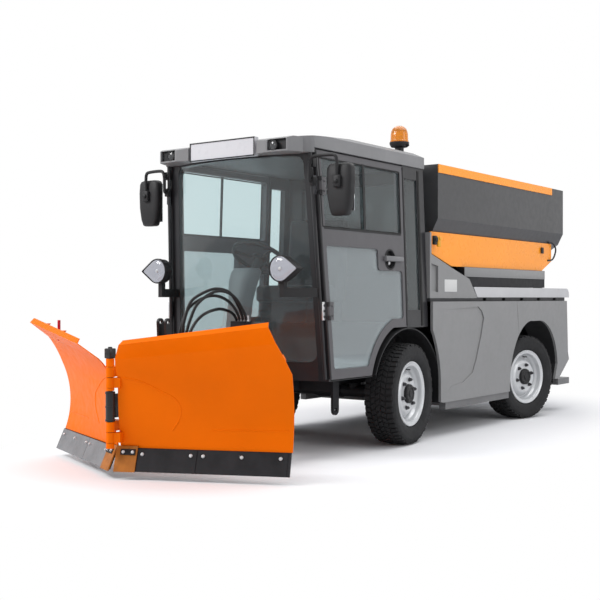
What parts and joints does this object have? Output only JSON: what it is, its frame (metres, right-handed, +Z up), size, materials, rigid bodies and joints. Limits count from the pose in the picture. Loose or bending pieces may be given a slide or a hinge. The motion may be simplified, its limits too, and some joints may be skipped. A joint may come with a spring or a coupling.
{
  "type": "implement carrier with snow plough and grit spreader",
  "caption": "Compact municipal implement carrier with a hinged V snow plough, glazed cab, all-wheel steering and a gritting hopper with a spreading disc.",
  "frame": {"origin": "centre of the vehicle's outline on the ground it stands on", "axes": "+X to the vehicle's left, +Y to its rear, +Z up; it drives towards -Y"},
  "size_m": [1.86, 5.4212, 2.19],
  "materials": {
    "chassis_black": "satin black paint",
    "engine_iron": "bare cast block",
    "tank_plastic": "moulded tank",
    "cab_black": "satin black paint",
    "door_grey": "satin grey paint",
    "cab_glass": "clear, faintly green",
    "roof_grey": "fine grained moulding",
    "plate_white": "blank white plate",
    "black_plastic": "grained black moulding",
    "lamp_glass": "clear lens",
    "amber": "amber lens",
    "seat_cloth": "black woven cloth",
    "console_grey": "grained grey moulding",
    "grip_black": "soft black grip",
    "body_grey": "satin grey body panel",
    "board_grey": "light grey paint",
    "bed_steel": "black bed",
    "hopper_steel": "dark grey satin paint",
    "orange_paint": "bright orange paint",
    "plough_black": "black paint",
    "edge_steel": "dark wear steel",
    "ram_black": "gloss black paint",
    "ram_chrome": "hard chrome",
    "wheel_silver": "silver paint",
    "tyre_rubber": "black tread rubber"
  },
  "bodies": {
    "vehicle": {"chassis_rails": "chassis_black", "cross_members": "chassis_black", "bed_frame": "chassis_black", "engine": "engine_iron", "tanks": "tank_plastic", "front_axle": "chassis_black", "rear_axle": "chassis_black", "cab_frame": "cab_black", "cab_glazing": "cab_glass", "roof": "roof_grey", "plate_board": "plate_white", "lamp_housings": "black_plastic", "lamp_lenses": "lamp_glass", "beacon_lens": "amber", "mirrors": "black_plastic", "seat": "seat_cloth", "steering_console": "console_grey", "steering_wheel": "grip_black", "side_panels": "body_grey", "wheel_liners": "black_plastic", "drop_sides": "board_grey", "load_bed": "bed_steel", "rear_panel": "black_plastic", "guard_rails": "chassis_black", "hopper": "hopper_steel", "hopper_trim": "orange_paint", "spreader_frame": "chassis_black", "spreader_chute": "hopper_steel", "front_hitch": "chassis_black"},
    "steer_front_left": {"knuckle_front_left": "chassis_black"},
    "wheel_front_left": {"rim_front_left": "wheel_silver", "tyre_front_left": "tyre_rubber"},
    "steer_front_right": {"knuckle_front_right": "chassis_black"},
    "wheel_front_right": {"rim_front_right": "wheel_silver", "tyre_front_right": "tyre_rubber"},
    "steer_rear_left": {"knuckle_rear_left": "chassis_black"},
    "wheel_rear_left": {"rim_rear_left": "wheel_silver", "tyre_rear_left": "tyre_rubber"},
    "steer_rear_right": {"knuckle_rear_right": "chassis_black"},
    "wheel_rear_right": {"rim_rear_right": "wheel_silver", "tyre_rear_right": "tyre_rubber"},
    "door_left": {"door_left": "door_grey", "door_glass_left": "cab_glass"},
    "door_right": {"door_right": "door_grey", "door_glass_right": "cab_glass"},
    "lower_links": {"lower_links": "plough_black"},
    "upper_links": {"upper_links": "plough_black"},
    "lift_barrel": {"lift_ram_barrel": "ram_black"},
    "lift_rod": {"lift_ram_rod": "ram_chrome"},
    "plough_frame": {"plough_frame": "plough_black"},
    "wing_left": {"wing_left": "orange_paint", "cutting_edge_left": "edge_steel"},
    "wing_barrel_left": {"wing_ram_barrel_left": "ram_black"},
    "wing_rod_left": {"wing_ram_rod_left": "ram_chrome"},
    "wing_right": {"wing_right": "orange_paint", "cutting_edge_right": "edge_steel"},
    "wing_barrel_right": {"wing_ram_barrel_right": "ram_black"},
    "wing_rod_right": {"wing_ram_rod_right": "ram_chrome"},
    "spreader_disc": {"spreader_disc": "hopper_steel"}
  },
  "joints": [
    {"name": "steer_front_left", "type": "hinge", "parent": "vehicle", "child": "steer_front_left", "pos_m": [0.48, -0.48944, 0.343], "axis": [0, 0, 1], "range_deg": [-41, 29]},
    {"name": "spin_front_left", "type": "hinge", "parent": "steer_front_left", "child": "wheel_front_left", "pos_m": [0.56503, -0.4805, 0.343], "axis": [0.9945, 0.1045, 0], "continuous": true},
    {"name": "steer_front_right", "type": "hinge", "parent": "vehicle", "child": "steer_front_right", "pos_m": [-0.48, -0.48944, 0.343], "axis": [0, 0, 1], "range_deg": [-41, 29]},
    {"name": "spin_front_right", "type": "hinge", "parent": "steer_front_right", "child": "wheel_front_right", "pos_m": [-0.56503, -0.49838, 0.343], "axis": [0.9945, 0.1045, 0], "continuous": true},
    {"name": "steer_rear_left", "type": "hinge", "parent": "vehicle", "child": "steer_rear_left", "pos_m": [0.48, 1.45956, 0.343], "axis": [0, 0, 1], "range_deg": [-12, 38]},
    {"name": "spin_rear_left", "type": "hinge", "parent": "steer_rear_left", "child": "wheel_rear_left", "pos_m": [0.56331, 1.44033, 0.343], "axis": [0.9744, -0.225, 0], "continuous": true},
    {"name": "steer_rear_right", "type": "hinge", "parent": "vehicle", "child": "steer_rear_right", "pos_m": [-0.48, 1.45956, 0.343], "axis": [0, 0, 1], "range_deg": [-12, 38]},
    {"name": "spin_rear_right", "type": "hinge", "parent": "steer_rear_right", "child": "wheel_rear_right", "pos_m": [-0.56331, 1.4788, 0.343], "axis": [0.9744, -0.225, 0], "continuous": true},
    {"name": "door_left_swing", "type": "hinge", "parent": "vehicle", "child": "door_left", "pos_m": [0.63995, -1.43766, 0.912], "axis": [0.0376, 0.0603, -0.9975], "range_deg": [0, 70]},
    {"name": "door_right_swing", "type": "hinge", "parent": "vehicle", "child": "door_right", "pos_m": [-0.63995, -1.43766, 0.912], "axis": [0.0376, -0.0603, 0.9975], "range_deg": [0, 70]},
    {"name": "plough_lift", "type": "hinge", "parent": "vehicle", "child": "lower_links", "pos_m": [0, -1.68544, 0.3], "axis": [-1, 0, 0], "range_deg": [-6, 30]},
    {"name": "upper_link_swing", "type": "hinge", "parent": "vehicle", "child": "upper_links", "pos_m": [0, -1.68544, 0.48], "axis": [-1, 0, 0], "range_deg": [-6, 30]},
    {"name": "plough_level", "type": "hinge", "parent": "lower_links", "child": "plough_frame", "pos_m": [0, -2.05544, 0.3], "axis": [-1, 0, 0], "range_deg": [-30, 6]},
    {"name": "lift_barrel_swing", "type": "hinge", "parent": "vehicle", "child": "lift_barrel", "pos_m": [0, -1.69544, 0.64], "axis": [-1, 0, 0], "range_deg": [-1.48, 7.41]},
    {"name": "lift_rod_slide", "type": "slide", "parent": "lift_barrel", "child": "lift_rod", "axis": [0, -0.6215, -0.7835], "range_m": [-0.12411, 0.02482]},
    {"name": "wing_left_swing", "type": "hinge", "parent": "plough_frame", "child": "wing_left", "pos_m": [0, -2.61444, 0.4], "axis": [0, 0, 1], "range_deg": [-54, 6]},
    {"name": "wing_barrel_left_swing", "type": "hinge", "parent": "plough_frame", "child": "wing_barrel_left", "pos_m": [0.09, -2.40944, 0.4], "axis": [0, 0, 1], "range_deg": [-65.21, 7.25]},
    {"name": "wing_rod_left_slide", "type": "slide", "parent": "wing_barrel_left", "child": "wing_rod_left", "axis": [0.8731, 0.4875, 0], "range_m": [-0.02028, 0.18252]},
    {"name": "wing_right_swing", "type": "hinge", "parent": "plough_frame", "child": "wing_right", "pos_m": [0, -2.61444, 0.4], "axis": [0, 0, -1], "range_deg": [-54, 6]},
    {"name": "wing_barrel_right_swing", "type": "hinge", "parent": "plough_frame", "child": "wing_barrel_right", "pos_m": [-0.09, -2.40944, 0.4], "axis": [0, 0, -1], "range_deg": [-65.21, 7.25]},
    {"name": "wing_rod_right_slide", "type": "slide", "parent": "wing_barrel_right", "child": "wing_rod_right", "axis": [-0.8731, 0.4875, 0], "range_m": [-0.02028, 0.18252]},
    {"name": "spreader_disc_spin", "type": "hinge", "parent": "vehicle", "child": "spreader_disc", "pos_m": [0, 2.49056, 0.43], "axis": [0, 0, 1], "continuous": true}
  ],
  "couplings": [
    {"joint": "steer_front_right", "follows": "steer_front_left", "ratio": 1},
    {"joint": "steer_rear_right", "follows": "steer_rear_left", "ratio": 1},
    {"joint": "upper_link_swing", "follows": "plough_lift", "ratio": 1},
    {"joint": "plough_level", "follows": "plough_lift", "ratio": -1},
    {"joint": "lift_barrel_swing", "follows": "plough_lift", "ratio": 0.24209},
    {"joint": "lift_rod_slide", "follows": "plough_lift", "m_per_rad": -0.23238},
    {"joint": "wing_barrel_left_swing", "follows": "wing_left_swing", "ratio": 1.1839},
    {"joint": "wing_rod_left_slide", "follows": "wing_left_swing", "m_per_rad": -0.18986},
    {"joint": "wing_barrel_right_swing", "follows": "wing_right_swing", "ratio": 1.1839},
    {"joint": "wing_rod_right_slide", "follows": "wing_right_swing", "m_per_rad": -0.18986}
  ]
}
